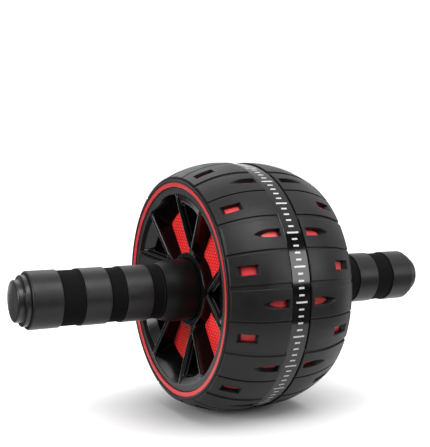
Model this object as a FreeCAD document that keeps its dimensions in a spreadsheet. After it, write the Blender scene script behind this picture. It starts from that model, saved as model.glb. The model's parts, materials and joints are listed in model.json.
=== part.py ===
import FreeCAD, Part
import math
import os
import Sketcher

# Ab wheel roller: a wide crowned wheel that turns on two ball bearings between a pair of fixed handles.
# The axle runs along Y, +Z is up, X is the way the wheel rolls, and the origin is the wheel's centre.
# Every sided piece is drawn on the right (+Y) and the left one is the same piece turned half round Z.

# Driving dimensions, in millimetres, degrees and counts.
SIZES = {
    # wheel outline
    "tread_radius": 87.5,
    "lip_drop": 10.0,
    "wheel_half_width": 46.5,
    "tread_flat_half": 10.0,
    "tyre_wall": 3.5,
    "tyre_lip_round": 1.2,
    "skin_clearance": 0.05,
    # glossy band between the two tyre halves
    "band_half_width": 7.0,
    "band_recess": 0.8,
    "band_gap": 0.4,
    "band_edge_round": 0.6,
    # windows and grooves of the tread
    "window_count": 12,
    "bullet_inner_end_share": 0.0614,
    "bullet_shoulder_share": 0.2455,
    "bullet_floor_tip_share": 0.3683,
    "bullet_tip_share": 0.532,
    "bullet_width": 5.4,
    "block_inner_end_share": 0.5524,
    "block_floor_end_share": 0.7826,
    "block_outer_end_share": 0.8849,
    "block_width": 6.0,
    "window_draft": 0.5,
    "groove_depth": 0.9,
    "wide_groove_angle": 2.2,
    "narrow_groove_angle": 1.0,
    # red core
    "core_wall": 3.5,
    "core_lip_proud": 0.4,
    "core_lip_round": 0.8,
    "web_setback": 16.5,
    "web_thickness": 3.0,
    "core_boss_wall": 4.5,
    "core_shoulder": 2.5,
    "screw_count": 5,
    "screw_phase_angle": 18.0,
    "screw_radius": 2.0,
    "screw_hole_clearance": 0.1,
    "screw_boss_radius": 4.5,
    "screw_head_radius": 3.4,
    "screw_head_height": 2.4,
    "screw_head_gap": 0.25,
    "screw_rim_setback": 6.0,
    "screw_end_gap": 5.0,
    # gloss spoke cover
    "spoke_count": 5,
    "spoke_phase_angle": 1.5,
    "cover_clearance": 0.2,
    "cover_rim_setback": 0.8,
    "cover_rim_width": 4.7,
    "cover_hub_wall": 4.0,
    "spoke_hub_stand": 7.6,
    "opening_rim_gain": 0.8,
    "opening_rim_run": 8.1,
    "opening_rim_share": 0.494,
    "opening_hub_share": 0.997,
    "opening_foot_rim_share": 0.664,
    "opening_foot_hub_share": 0.807,
    "opening_rim_cut": 2.6,
    "opening_hub_cut": 3.5,
    "opening_bend_share": 1.0,
    "pocket_rim_setback": 3.0,
    "pocket_ramp_run": 6.6,
    "pocket_ramp_depth": 8.0,
    "pocket_tip_stand": 8.5,
    "pocket_rim_share": 0.373,
    "pocket_ramp_share": 0.314,
    "pocket_foot_share": 0.256,
    "pocket_tip_share": 0.04,
    "pocket_rim_cut": 1.6,
    "pocket_tip_cut": 0.5,
    "pocket_bend_share": 1.0,
    "hub_running_gap": 0.6,
    "retaining_lip": 1.6,
    "retaining_lip_bore": 13.2,
    # ball bearings
    "bearing_outer_radius": 16.0,
    "bearing_width": 9.0,
    "bearing_stand": 3.5,
    "inner_ring_share": 0.2544,
    "outer_ring_share": 0.2604,
    "ball_share": 0.2817,
    "ball_count": 9,
    "race_clearance": 0.06,
    "cage_wall": 1.5,
    "cage_width": 6.0,
    "shield_thickness": 0.4,
    "shield_setback": 0.4,
    "shield_gap": 0.2,
    # axle and its fasteners
    "fit_clearance": 0.05,
    "axle_radius": 7.5,
    "axle_end_gap": 0.3,
    "axle_half_length": 136.0,
    "axle_end_chamfer": 0.8,
    "axle_thread_spare": 2.0,
    "spacer_wall": 2.4,
    "bolt_radius": 4.0,
    "bolt_thread_length": 20.0,
    "bolt_head_radius": 6.5,
    "bolt_head_height": 7.0,
    "bolt_socket_radius": 3.4,
    "bolt_socket_depth": 4.0,
    "washer_radius": 10.0,
    "washer_thickness": 1.6,
    "bolt_hole_clearance": 0.25,
    # handles
    "handle_tube_radius": 15.0,
    "handle_tube_wall": 2.0,
    "handle_spigot_wall": 1.85,
    "handle_floor": 4.0,
    "cap_well_depth": 11.1,
    "grip_wall": 3.8,
    "grip_edge_round": 0.5,
    "grip_end_round": 1.2,
    "grip_band_depth": 0.75,
    "grip_bead_width": 1.6,
    "grip_bead_rise": 0.6,
    "outer_band_start_share": 0.6204,
    "outer_band_end_share": 0.7825,
    "middle_band_start_share": 0.3063,
    "middle_band_end_share": 0.4273,
    "inner_band_start_share": 0.0,
    "inner_band_end_share": 0.1032,
    "collar_rise": 2.55,
    "collar_crown_stand": 2.5,
    "collar_taper_length": 12.3,
    "collar_face_drop": 0.5,
    # end cap
    "cap_plug_length": 6.0,
    "cap_plug_wall": 2.0,
    "cap_ring_radius": 16.6,
    "cap_ring_height": 3.4,
    "cap_step": 3.0,
    "cap_dome_side": 3.4,
    "cap_dome_round": 1.2,
    "cap_dome_crown": 1.4,
    "cap_round": 0.7,
    # how far a cut runs past the face that it leaves
    "overrun": 2.0,
}

doc = FreeCAD.newDocument("ab_wheel_roller")
sheet = doc.addObject("Spreadsheet::Sheet", "Sizes")
for row, (alias, value) in enumerate(SIZES.items(), start=1):
    sheet.set(f"A{row}", alias)
    sheet.set(f"B{row}", str(value))
    sheet.setAlias(f"B{row}", alias)
doc.recompute()


class Formula:
    """A size worked out from the sheet: its value now, and the expression that keeps it bound."""

    def __init__(self, value, text):
        self.value = value
        self.text = text

    def __add__(self, other):
        other = formula(other)
        return Formula(self.value + other.value, f"({self.text} + {other.text})")

    def __sub__(self, other):
        other = formula(other)
        return Formula(self.value - other.value, f"({self.text} - {other.text})")

    def __mul__(self, other):
        other = formula(other)
        return Formula(self.value * other.value, f"({self.text} * {other.text})")

    def __truediv__(self, other):
        other = formula(other)
        return Formula(self.value / other.value, f"({self.text} / {other.text})")

    def __neg__(self):
        return Formula(-self.value, f"(-{self.text})")


def formula(number):
    """A plain number as a formula."""
    return number if isinstance(number, Formula) else Formula(float(number), f"({number})")


def size(alias):
    """One cell of the sheet as a formula."""
    return Formula(float(sheet.get(alias)), f"Sizes.{alias}")


def root(of):
    """Square root of a formula."""
    return Formula(math.sqrt(of.value), f"sqrt({of.text})")


def turned(radius, angle):
    """The point at a radius and an angle in degrees, as two formulas."""
    across = math.cos(math.radians(angle.value))
    along = math.sin(math.radians(angle.value))
    return (
        Formula(radius.value * across, f"({radius.text} * cos({angle.text} * 1 deg))"),
        Formula(radius.value * along, f"({radius.text} * sin({angle.text} * 1 deg))"),
    )


ZERO = formula(0)


# Sketches and bodies

def origin_plane(body, role):
    """One of a body's own origin planes or axes, found by its role."""
    return next(f for f in body.Origin.OriginFeatures if f.Role == role)


def new_body(label):
    """An empty body with its label."""
    body = doc.addObject("PartDesign::Body", label)
    body.Label = label
    body.AllowCompound = True
    return body


def arc_between(start, end, radius):
    """Centre of the arc from start to end; a positive radius bulges to the left of the way along."""
    chord = end - start
    middle = (start + end) * 0.5
    reach = math.sqrt(max(radius * radius - chord.Length * chord.Length / 4, 0.0))
    normal = FreeCAD.Vector(-chord.y, chord.x, 0).normalize()
    return middle - normal * reach * math.copysign(1, radius)


def draw_outline(sketch, corners):
    """A closed outline. Each corner is (x, y) and runs straight to the next, or (x, y, radius) and runs as an arc."""
    points = [FreeCAD.Vector(c[0].value, c[1].value, 0) for c in corners]
    starts, ends = [], []
    for i, corner in enumerate(corners):
        here, there = points[i], points[(i + 1) % len(points)]
        if len(corner) == 2:
            edge = sketch.addGeometry(Part.LineSegment(here, there))
            starts.append((edge, 1))
            ends.append((edge, 2))
            continue
        bend = corner[2].value
        centre = arc_between(here, there, bend)
        circle = Part.Circle(centre, FreeCAD.Vector(0, 0, 1), abs(bend))
        first, last = (there, here) if bend > 0 else (here, there)
        angles = [math.atan2(p.y - centre.y, p.x - centre.x) for p in (first, last)]
        edge = sketch.addGeometry(Part.ArcOfCircle(circle, angles[0], angles[1]))
        starts.append((edge, 2 if bend > 0 else 1))
        ends.append((edge, 1 if bend > 0 else 2))
        radius = sketch.addConstraint(Sketcher.Constraint("Radius", edge, abs(bend)))
        text = corner[2].text if bend > 0 else f"(-{corner[2].text})"
        sketch.setExpression(f"Constraints[{radius}]", text)
    for i, corner in enumerate(corners):
        edge, place = starts[i]
        sketch.addConstraint(Sketcher.Constraint("Coincident", *ends[i - 1], edge, place))
        for kind, at in (("DistanceX", corner[0]), ("DistanceY", corner[1])):
            pin = sketch.addConstraint(Sketcher.Constraint(kind, edge, place, at.value))
            if at.text != ZERO.text:
                sketch.setExpression(f"Constraints[{pin}]", at.text)


def new_sketch(body, name, role, corners, lift=None, turn=None):
    """A closed outline on one of the body's origin planes, lifted off it or turned about the sketch's upright."""
    sketch = body.newObject("Sketcher::SketchObject", name)
    sketch.AttachmentSupport = (origin_plane(body, role), [""])
    sketch.MapMode = "FlatFace"
    draw_outline(sketch, corners)
    if turn is not None:
        sketch.AttachmentOffset = FreeCAD.Placement(
            FreeCAD.Vector(), FreeCAD.Rotation(FreeCAD.Vector(0, 1, 0), turn.value))
        sketch.setExpression("AttachmentOffset.Rotation.Angle", turn.text)
    if lift is not None:
        sketch.AttachmentOffset = FreeCAD.Placement(FreeCAD.Vector(0, 0, lift.value), FreeCAD.Rotation())
        sketch.setExpression("AttachmentOffset.Base.z", lift.text)
    return sketch


def circle_sketch(body, name, centre, radius, lift=None, role="XZ_Plane"):
    """A circle on one of the body's origin planes, at a place given as two formulas."""
    sketch = new_sketch(body, name, role, [], lift=lift)
    at = FreeCAD.Vector(centre[0].value, centre[1].value, 0)
    edge = sketch.addGeometry(Part.Circle(at, FreeCAD.Vector(0, 0, 1), radius.value))
    wanted = sketch.addConstraint(Sketcher.Constraint("Radius", edge, radius.value))
    sketch.setExpression(f"Constraints[{wanted}]", radius.text)
    for kind, place in (("DistanceX", centre[0]), ("DistanceY", centre[1])):
        pin = sketch.addConstraint(Sketcher.Constraint(kind, edge, 3, place.value))
        if place.text != ZERO.text:
            sketch.setExpression(f"Constraints[{pin}]", place.text)
    return sketch


def revolve(body, corners, name="profile"):
    """A full turn about the axle of an outline drawn as (place along Y, radius)."""
    sketch = new_sketch(body, f"{body.Label}_{name}", "YZ_Plane", corners)
    turned_solid = body.newObject("PartDesign::Revolution", f"{body.Label}_{name}_turned")
    turned_solid.Profile = sketch
    turned_solid.ReferenceAxis = (sketch, ["H_Axis"])
    turned_solid.Angle = 360.0
    return turned_solid


def polar(body, features, count):
    """Copies of features, evenly round the axle."""
    pattern = body.newObject("PartDesign::PolarPattern", f"{features[0].Name}_round")
    pattern.Originals = features
    pattern.Axis = (origin_plane(body, "Y_Axis"), [""])
    pattern.Angle = 360.0
    pattern.setExpression("Occurrences", count.text)
    body.Tip = pattern
    return pattern


def cut_through(body, sketch, name, reversed_way=False, symmetric=None):
    """A pocket from a sketch: through everything one way, or a set width about the sketch's plane."""
    pocket = body.newObject("PartDesign::Pocket", name)
    pocket.Profile = sketch
    if symmetric is None:
        pocket.Type = "ThroughAll"
        pocket.Reversed = reversed_way
    else:
        pocket.Type = "Length"
        pocket.SideType = "Symmetric"
        pocket.setExpression("Length", symmetric.text)
    return pocket


def half_turned(body, side):
    """Turns a piece half round Z for the left side."""
    if side == "left":
        body.Placement = FreeCAD.Placement(FreeCAD.Vector(), FreeCAD.Rotation(FreeCAD.Vector(0, 0, 1), 180))
    return body


def ring(label, side, start, end, bore, outer):
    """A plain ring about the axle."""
    body = new_body(label)
    revolve(body, [(start, bore), (end, bore), (end, outer), (start, outer)])
    return half_turned(body, side)


# Shared places and curves of the wheel

HALF_TURN = formula(180)
RADIAN = HALF_TURN / math.pi
overrun = size("overrun")
tread_radius = size("tread_radius")
half_width = size("wheel_half_width")
flat_half = size("tread_flat_half")
shoulder_run = half_width - flat_half
shoulder_drop = size("lip_drop")
crown_radius = (shoulder_run * shoulder_run + shoulder_drop * shoulder_drop) / (shoulder_drop * 2)
drum_radius = tread_radius - size("tyre_wall") - size("skin_clearance")
core_lip_place = half_width + size("core_lip_proud") - size("core_lip_round")
web_face = half_width - size("web_setback")
web_back = web_face - size("web_thickness")
bearing_face = web_face + size("bearing_stand")
bearing_back = bearing_face - size("bearing_width")
bearing_middle = (bearing_face + bearing_back) / 2
bearing_seat = size("bearing_outer_radius")
core_boss_radius = bearing_seat + size("core_boss_wall")
axle_bore = size("axle_radius") + size("fit_clearance")
collar_start = bearing_face + size("retaining_lip") + size("hub_running_gap")
collar_crown = half_width + size("collar_crown_stand")
collar_end = collar_crown + size("collar_taper_length")
handle_floor_in = size("axle_half_length") + size("axle_end_gap")
handle_floor_out = handle_floor_in + size("handle_floor")
handle_end = handle_floor_out + size("cap_well_depth")
bolt_hole = size("bolt_radius") + size("bolt_hole_clearance")
tube_radius = size("handle_tube_radius")
cap_bore = tube_radius - size("handle_tube_wall")
sleeve_bore = tube_radius + size("skin_clearance")
grip_radius = sleeve_bore + size("grip_wall")
collar_radius = grip_radius + size("collar_rise")
collar_face_radius = collar_radius - size("collar_face_drop")
tyre_edge = size("band_half_width") + size("band_gap")


def crown_at(place, top):
    """Radius of the crown at a place along the axle, where the running strip has the radius top."""
    run = place - flat_half
    return top - crown_radius + root(crown_radius * crown_radius - run * run)


def drawn_angle(side, angle):
    """The angle at which a piece is drawn so that it stands at the given angle once it is on its side."""
    return angle if side == "right" else HALF_TURN - angle


def bow(run, rise):
    """Radius of an arc that leaves square to its rise and climbs it over the run."""
    return (run * run + rise * rise) / (rise * 2)


core_lip_bore = crown_at(core_lip_place, drum_radius) - size("core_wall")
cover_rim = core_lip_bore - size("cover_clearance")
screw_circle = cover_rim - size("screw_rim_setback")
screw_seat = web_face - size("screw_head_gap") - size("screw_head_height")


# Tyre halves and band

def tread_place(name):
    """A place across the tread, from its share of the way between the band and the lip."""
    return tyre_edge + size(f"{name}_share") * (half_width - tyre_edge)


def bullet_outline(width, tip, shoulder, inner):
    """A square end towards the band and an ogive point towards the lip, as (along Y, across)."""
    half = width / 2
    ogive = bow(tip - shoulder, half)
    return [
        (inner, -half),
        (shoulder, -half, -ogive),
        (tip, ZERO, -ogive),
        (shoulder, half),
        (inner, half),
    ]


def cut_bullets(body, side):
    """Windows that narrow from the tread down to the core, with a long ramp at the tip."""
    tip = tread_place("bullet_tip")
    floor_tip = tread_place("bullet_floor_tip")
    shoulder = tread_place("bullet_shoulder")
    inner = tread_place("bullet_inner_end")
    width = size("bullet_width")
    draft = size("window_draft")
    floor = crown_at(floor_tip, tread_radius) - size("tyre_wall")
    slope = (tip - floor_tip) / (crown_at(tip, tread_radius) - floor)
    top_outline = bullet_outline(
        width + draft, floor_tip + slope * (tread_radius + overrun - floor), shoulder, inner - draft)
    floor_outline = bullet_outline(width - draft, floor_tip - slope * overrun / 2, shoulder - width, inner)
    bullet = body.newObject("PartDesign::SubtractiveLoft", f"{side}_bullet")
    bullet.Profile = new_sketch(
        body, f"{side}_bullet_top", "YZ_Plane", top_outline, lift=tread_radius + overrun)
    bullet.Sections = [new_sketch(
        body, f"{side}_bullet_floor", "YZ_Plane", floor_outline, lift=floor - overrun / 2)]
    bullet.Ruled = True
    polar(body, [bullet], size("window_count"))


def cut_blocks(body, side):
    """Windows with a square plan; the slanted edge of the outline is the ramp at the outer end."""
    inner = tread_place("block_inner_end")
    floor_end = tread_place("block_floor_end")
    outer_end = tread_place("block_outer_end")
    floor = crown_at(floor_end, tread_radius) - size("tyre_wall")
    top = tread_radius + overrun
    slope = (outer_end - floor_end) / (crown_at(outer_end, tread_radius) - floor)
    outline = new_sketch(body, f"{side}_block_outline", "XY_Plane", [
        (floor - overrun, inner),
        (top, inner),
        (top, floor_end + slope * (top - floor)),
        (floor, floor_end),
        (floor - overrun, floor_end),
    ], turn=HALF_TURN / size("window_count"))
    block = cut_through(body, outline, f"{side}_block", symmetric=size("block_width"))
    polar(body, [block], size("window_count"))


def cut_grooves(body, side):
    """Lines across the tread between the windows, wide and narrow by turns, that follow the crown."""
    bed = tread_radius - size("groove_depth")
    pitch = HALF_TURN / size("window_count")
    past_lip = half_width + overrun
    for name, middle in (("wide", pitch / 2), ("narrow", pitch + pitch / 2)):
        outline = new_sketch(body, f"{side}_{name}_groove_outline", "XY_Plane", [
            (bed, tyre_edge - overrun),
            (bed, flat_half, -crown_radius),
            (bed - shoulder_drop, half_width),
            (bed - shoulder_drop, past_lip),
            (tread_radius + overrun, past_lip),
            (tread_radius + overrun, tyre_edge - overrun),
        ], turn=-drawn_angle(side, middle))
        groove = body.newObject("PartDesign::Groove", f"{side}_{name}_groove")
        groove.Profile = outline
        groove.ReferenceAxis = (outline, ["V_Axis"])
        groove.Midplane = True
        groove.setExpression("Angle", size(f"{name}_groove_angle").text)
        polar(body, [groove], size("window_count"))


def tyre(side):
    """Half of the rubber tread: a crowned skin with two rows of windows and grooves across its blocks."""
    body = new_body(f"{side}_tyre")
    soft = size("tyre_lip_round")
    lip_top = crown_at(half_width - soft, tread_radius)
    bore = tread_radius - size("tyre_wall")
    revolve(body, [
        (tyre_edge, bore),
        (tyre_edge, tread_radius),
        (flat_half, tread_radius, crown_radius),
        (half_width - soft, lip_top, soft),
        (half_width, lip_top - soft),
        (half_width, bore - shoulder_drop, -crown_radius),
        (flat_half, bore),
    ])
    cut_bullets(body, side)
    cut_blocks(body, side)
    cut_grooves(body, side)
    return half_turned(body, side)


def centre_band():
    """Glossy band round the middle, set a little below the tread."""
    body = new_body("centre_band")
    half = size("band_half_width")
    face = tread_radius - size("band_recess")
    edge = size("band_edge_round")
    bore = tread_radius - size("tyre_wall")
    revolve(body, [
        (-half, bore),
        (-half, face - edge, edge),
        (edge - half, face),
        (half - edge, face, edge),
        (half, face - edge),
        (half, bore),
    ])
    return body


# Red core halves and the screws that join them

def core(side):
    """Half of the red core: crowned drum, web, bearing boss and hollow screw posts."""
    body = new_body(f"{side}_core")
    wall = size("core_wall")
    soft = size("core_lip_round")
    lip_top = crown_at(core_lip_place, drum_radius)
    shoulder_bore = bearing_seat - size("core_shoulder")
    shoulder_back = bearing_back - size("core_shoulder")
    revolve(body, [
        (ZERO, drum_radius - wall),
        (ZERO, drum_radius),
        (flat_half, drum_radius, crown_radius),
        (core_lip_place, lip_top, soft),
        (core_lip_place + soft, lip_top - soft),
        (core_lip_place + soft, core_lip_bore + soft, soft),
        (core_lip_place, core_lip_bore, -crown_radius),
        (web_face, crown_at(web_face, drum_radius) - wall),
        (web_face, core_boss_radius),
        (bearing_face, core_boss_radius),
        (bearing_face, bearing_seat),
        (bearing_back, bearing_seat),
        (bearing_back, shoulder_bore),
        (shoulder_back, shoulder_bore),
        (shoulder_back, core_boss_radius),
        (web_back, core_boss_radius),
        (web_back, crown_at(web_back, drum_radius) - wall, -crown_radius),
        (flat_half, drum_radius - wall),
    ])
    place = turned(screw_circle, drawn_angle(side, size("screw_phase_angle")))
    post = body.newObject("PartDesign::Pad", f"{side}_screw_post")
    post.Profile = circle_sketch(body, f"{side}_screw_post_outline", place, size("screw_boss_radius"))
    post.Reversed = True
    post.setExpression("Length", web_back.text)
    polar(body, [post], size("screw_count"))
    hole = cut_through(body, circle_sketch(
        body, f"{side}_screw_hole_outline", place,
        size("screw_radius") + size("screw_hole_clearance")), f"{side}_screw_hole")
    polar(body, [hole], size("screw_count"))
    if side == "left":
        seat = cut_through(body, circle_sketch(
            body, f"{side}_screw_seat_outline", place,
            size("screw_head_radius") + size("screw_head_gap"), lift=-screw_seat), f"{side}_screw_seat")
        polar(body, [seat], size("screw_count"))
    return half_turned(body, side)


def core_screws():
    """Screws from the left web, with their heads sunk in it, through the posts of both core halves."""
    body = new_body("core_screws")
    place = turned(screw_circle, size("screw_phase_angle"))
    shank = body.newObject("PartDesign::Pad", "screw_shank")
    shank.Profile = circle_sketch(body, "screw_shank_outline", place, size("screw_radius"), lift=screw_seat)
    shank.Reversed = True
    shank.setExpression("Length", (screw_seat + web_back - size("screw_end_gap")).text)
    head = body.newObject("PartDesign::Pad", "screw_head")
    head.Profile = circle_sketch(body, "screw_head_outline", place, size("screw_head_radius"), lift=screw_seat)
    head.setExpression("Length", size("screw_head_height").text)
    polar(body, [shank, head], size("screw_count"))
    return body


# Gloss spoke covers

def towards(start, end, length):
    """The point at a length from one point on the way to another."""
    across = end[0] - start[0]
    along = end[1] - start[1]
    share = length / root(across * across + along * along)
    return (start[0] + across * share, start[1] + along * share)


def wedge(middle, outer, inner, outer_cut, inner_cut, bend_share):
    """Arcs at an outer and an inner radius joined by straight flanks, with the corners rounded, as (X, Z).

    Outer and inner are each a radius and a half width, which is a share of half the spokes' pitch. The cuts
    are how far from a corner its round begins, and the round's radius is a share of the cut.
    """
    half_pitch = HALF_TURN / size("spoke_count")
    outer_angle = half_pitch * outer[1]
    inner_angle = half_pitch * inner[1]
    outer_turn = outer_cut / outer[0] * RADIAN
    inner_turn = inner_cut / inner[0] * RADIAN
    outer_corners = [turned(outer[0], middle - outer_angle), turned(outer[0], middle + outer_angle)]
    inner_corners = [turned(inner[0], middle - inner_angle), turned(inner[0], middle + inner_angle)]
    outer_bend = outer_cut * bend_share
    inner_bend = inner_cut * bend_share
    return [
        (*turned(outer[0], middle - outer_angle + outer_turn), -outer[0]),
        (*turned(outer[0], middle + outer_angle - outer_turn), -outer_bend),
        towards(outer_corners[1], inner_corners[1], outer_cut),
        (*towards(inner_corners[1], outer_corners[1], inner_cut), -inner_bend),
        (*turned(inner[0], middle + inner_angle - inner_turn), inner[0]),
        (*turned(inner[0], middle - inner_angle + inner_turn), -inner_bend),
        towards(inner_corners[0], outer_corners[0], inner_cut),
        (*towards(outer_corners[0], inner_corners[0], outer_cut), -outer_bend),
    ]


def cut_wedges(body, name, outlines):
    """A tapered cut through the cover, round the axle, from its outlines and their places along the axle."""
    sketches = [new_sketch(body, f"{name}_outline_{i}", "XZ_Plane", outline, lift=-place)
                for i, (place, outline) in enumerate(outlines, start=1)]
    cut = body.newObject("PartDesign::SubtractiveLoft", name)
    cut.Profile = sketches[0]
    cut.Sections = sketches[1:]
    cut.Ruled = True
    return polar(body, [cut], size("spoke_count"))


def spoke_cover(side):
    """Dished cover with V-shaped spokes; its hub holds the bearing in the core."""
    body = new_body(f"{side}_spoke_cover")
    rim_face = half_width - size("cover_rim_setback")
    rim_bore = cover_rim - size("cover_rim_width")
    hub_face = web_face + size("spoke_hub_stand")
    hub_bore = collar_face_radius + size("hub_running_gap")
    hub_radius = hub_bore + size("cover_hub_wall")
    lip_face = bearing_face + size("retaining_lip")
    boss_bore = core_boss_radius + size("cover_clearance")
    revolve(body, [
        (web_face, boss_bore),
        (web_face, cover_rim),
        (rim_face, cover_rim),
        (rim_face, rim_bore),
        (hub_face, hub_radius),
        (hub_face, hub_bore),
        (lip_face, hub_bore),
        (lip_face, size("retaining_lip_bore")),
        (bearing_face, size("retaining_lip_bore")),
        (bearing_face, boss_bore),
    ])
    spoke = drawn_angle(side, size("spoke_phase_angle"))
    between = spoke + HALF_TURN / size("spoke_count")
    window_rim = rim_bore + size("opening_rim_gain")
    window_foot = wedge(
        between, (window_rim - size("opening_rim_run"), size("opening_foot_rim_share")),
        (hub_radius, size("opening_foot_hub_share")), size("opening_rim_cut"), size("opening_hub_cut"),
        size("opening_bend_share"))
    cut_wedges(body, f"{side}_opening", [
        (half_width, wedge(
            between, (window_rim, size("opening_rim_share")), (hub_radius, size("opening_hub_share")),
            size("opening_rim_cut"), size("opening_hub_cut"), size("opening_bend_share"))),
        (web_face, window_foot),
        (web_face - overrun, window_foot),
    ])
    pocket_rim = rim_bore - size("pocket_rim_setback")
    pocket_ramp_end = pocket_rim - size("pocket_ramp_run")
    pocket_tip = (hub_radius + size("pocket_tip_stand"), size("pocket_tip_share"))
    pocket_rounds = (size("pocket_rim_cut"), size("pocket_tip_cut"), size("pocket_bend_share"))
    pocket_foot = wedge(spoke, (pocket_ramp_end, size("pocket_foot_share")), pocket_tip, *pocket_rounds)
    cut_wedges(body, f"{side}_pocket", [
        (half_width, wedge(spoke, (pocket_rim, size("pocket_rim_share")), pocket_tip, *pocket_rounds)),
        (half_width - size("pocket_ramp_depth"),
         wedge(spoke, (pocket_ramp_end, size("pocket_ramp_share")), pocket_tip, *pocket_rounds)),
        (web_face, pocket_foot),
        (web_face - overrun, pocket_foot),
    ])
    return half_turned(body, side)


# Ball bearings

ball_circle = (axle_bore + bearing_seat) / 2
bearing_section = bearing_seat - axle_bore
inner_land = axle_bore + bearing_section * size("inner_ring_share")
outer_land = bearing_seat - bearing_section * size("outer_ring_share")
ball_radius = bearing_section * size("ball_share")
race_radius = ball_radius + size("race_clearance")


def race_half_width(land):
    """Half the width of the race where it meets a ring's land."""
    rise = ball_circle - land
    return root(race_radius * race_radius - rise * rise)


def bearing_inner_ring(side):
    """Ring on the axle, with the ball race in its outside."""
    body = new_body(f"{side}_bearing_inner_ring")
    land = inner_land
    half = race_half_width(land)
    revolve(body, [
        (bearing_back, axle_bore),
        (bearing_back, land),
        (bearing_middle - half, land, -race_radius),
        (bearing_middle + half, land),
        (bearing_face, land),
        (bearing_face, axle_bore),
    ])
    return half_turned(body, side)


def bearing_outer_ring(side):
    """Ring in the core, with the ball race in its bore."""
    body = new_body(f"{side}_bearing_outer_ring")
    land = outer_land
    half = race_half_width(land)
    seat = bearing_seat - size("fit_clearance")
    revolve(body, [
        (bearing_back, seat),
        (bearing_face, seat),
        (bearing_face, land),
        (bearing_middle + half, land, -race_radius),
        (bearing_middle - half, land),
        (bearing_back, land),
    ])
    return half_turned(body, side)


def bearing_shields(side):
    """Two thin rings, held in the outer ring, that close the bearing on both faces."""
    body = new_body(f"{side}_bearing_shields")
    inner = inner_land + size("shield_gap")
    outer = outer_land - size("fit_clearance")
    thick = size("shield_thickness")
    for name, start in (("outside", bearing_face - size("shield_setback") - thick),
                        ("inside", bearing_back + size("shield_setback"))):
        revolve(body, [(start, inner), (start + thick, inner), (start + thick, outer), (start, outer)], name)
    return half_turned(body, side)


def bearing_cage(side):
    """Ring that spaces the balls, with a round pocket for each."""
    body = new_body(f"{side}_bearing_cage")
    half = size("cage_width") / 2
    inner = ball_circle - size("cage_wall") / 2
    outer = ball_circle + size("cage_wall") / 2
    revolve(body, [
        (bearing_middle - half, inner),
        (bearing_middle + half, inner),
        (bearing_middle + half, outer),
        (bearing_middle - half, outer),
    ])
    hole_sketch = circle_sketch(body, f"{side}_ball_pocket_outline", (bearing_middle, ZERO),
                                race_radius, role="YZ_Plane")
    hole = cut_through(body, hole_sketch, f"{side}_ball_pocket", reversed_way=True)
    polar(body, [hole], size("ball_count"))
    return half_turned(body, side)


def bearing_balls(side):
    """The balls of one bearing."""
    body = new_body(f"{side}_bearing_balls")
    ball = body.newObject("PartDesign::AdditiveSphere", f"{side}_ball")
    ball.AttachmentSupport = (origin_plane(body, "XY_Plane"), [""])
    ball.MapMode = "FlatFace"
    ball.setExpression("Radius", ball_radius.text)
    ball.setExpression("AttachmentOffset.Base.x", ball_circle.text)
    ball.setExpression("AttachmentOffset.Base.y", bearing_middle.text)
    polar(body, [ball], size("ball_count"))
    return half_turned(body, side)


# Axle and what clamps the handles to it

def axle_shaft():
    """Steel axle with a threaded hole in each end."""
    body = new_body("axle_shaft")
    half = size("axle_half_length")
    radius = size("axle_radius")
    bevel = size("axle_end_chamfer")
    hole = size("bolt_radius") + size("fit_clearance")
    depth = size("bolt_thread_length") + size("axle_thread_spare")
    revolve(body, [
        (-half, hole),
        (-half, radius - bevel),
        (bevel - half, radius),
        (half - bevel, radius),
        (half, radius - bevel),
        (half, hole),
        (half - depth, hole),
        (half - depth, ZERO),
        (depth - half, ZERO),
        (depth - half, hole),
    ])
    return body


def bearing_spacer():
    """Tube on the axle that keeps the two inner rings apart."""
    return ring("bearing_spacer", "right", -bearing_back, bearing_back, axle_bore,
                axle_bore + size("spacer_wall"))


def handle_washer(side):
    """Washer under the bolt's head."""
    return ring(f"{side}_handle_washer", side, handle_floor_out, handle_floor_out + size("washer_thickness"),
                bolt_hole, size("washer_radius"))


def handle_bolt(side):
    """Socket-head bolt that draws the handle along the axle onto the bearing."""
    body = new_body(f"{side}_handle_bolt")
    seat = handle_floor_out + size("washer_thickness")
    top = seat + size("bolt_head_height")
    tip = size("axle_half_length") - size("bolt_thread_length")
    revolve(body, [
        (tip, ZERO),
        (tip, size("bolt_radius")),
        (seat, size("bolt_radius")),
        (seat, size("bolt_head_radius")),
        (top, size("bolt_head_radius")),
        (top, ZERO),
    ])
    key = size("bolt_socket_radius")
    flats = 6
    hexagon = [turned(key, HALF_TURN * 2 * step / flats) for step in range(flats)]
    socket = new_sketch(body, f"{side}_bolt_socket_outline", "XZ_Plane", hexagon,
                        lift=size("bolt_socket_depth") - top)
    cut_through(body, socket, f"{side}_bolt_socket")
    return half_turned(body, side)


# Handles

def grip_place(name):
    """A place along the grip, from its share of the way between the collar and the handle's end."""
    return collar_end + size(f"{name}_share") * (handle_end - collar_end)


def handle_core(side):
    """Stiff tube on the axle: a spigot that meets the bearing, and a floor near the end for the bolt."""
    body = new_body(f"{side}_handle_core")
    spigot = axle_bore + size("handle_spigot_wall")
    revolve(body, [
        (bearing_face, axle_bore),
        (bearing_face, spigot),
        (collar_start, spigot),
        (collar_start, tube_radius),
        (handle_end, tube_radius),
        (handle_end, cap_bore),
        (handle_floor_out, cap_bore),
        (handle_floor_out, bolt_hole),
        (handle_floor_in, bolt_hole),
        (handle_floor_in, axle_bore),
    ])
    return half_turned(body, side)


def hub_collar(side):
    """Bulging collar between the grip and the wheel's hub."""
    body = new_body(f"{side}_hub_collar")
    revolve(body, [
        (collar_start, sleeve_bore),
        (collar_start, collar_face_radius, bow(collar_crown - collar_start, size("collar_face_drop"))),
        (collar_crown, collar_radius, bow(size("collar_taper_length"), size("collar_rise"))),
        (collar_end, grip_radius),
        (collar_end, sleeve_bore),
    ])
    return half_turned(body, side)


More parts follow.
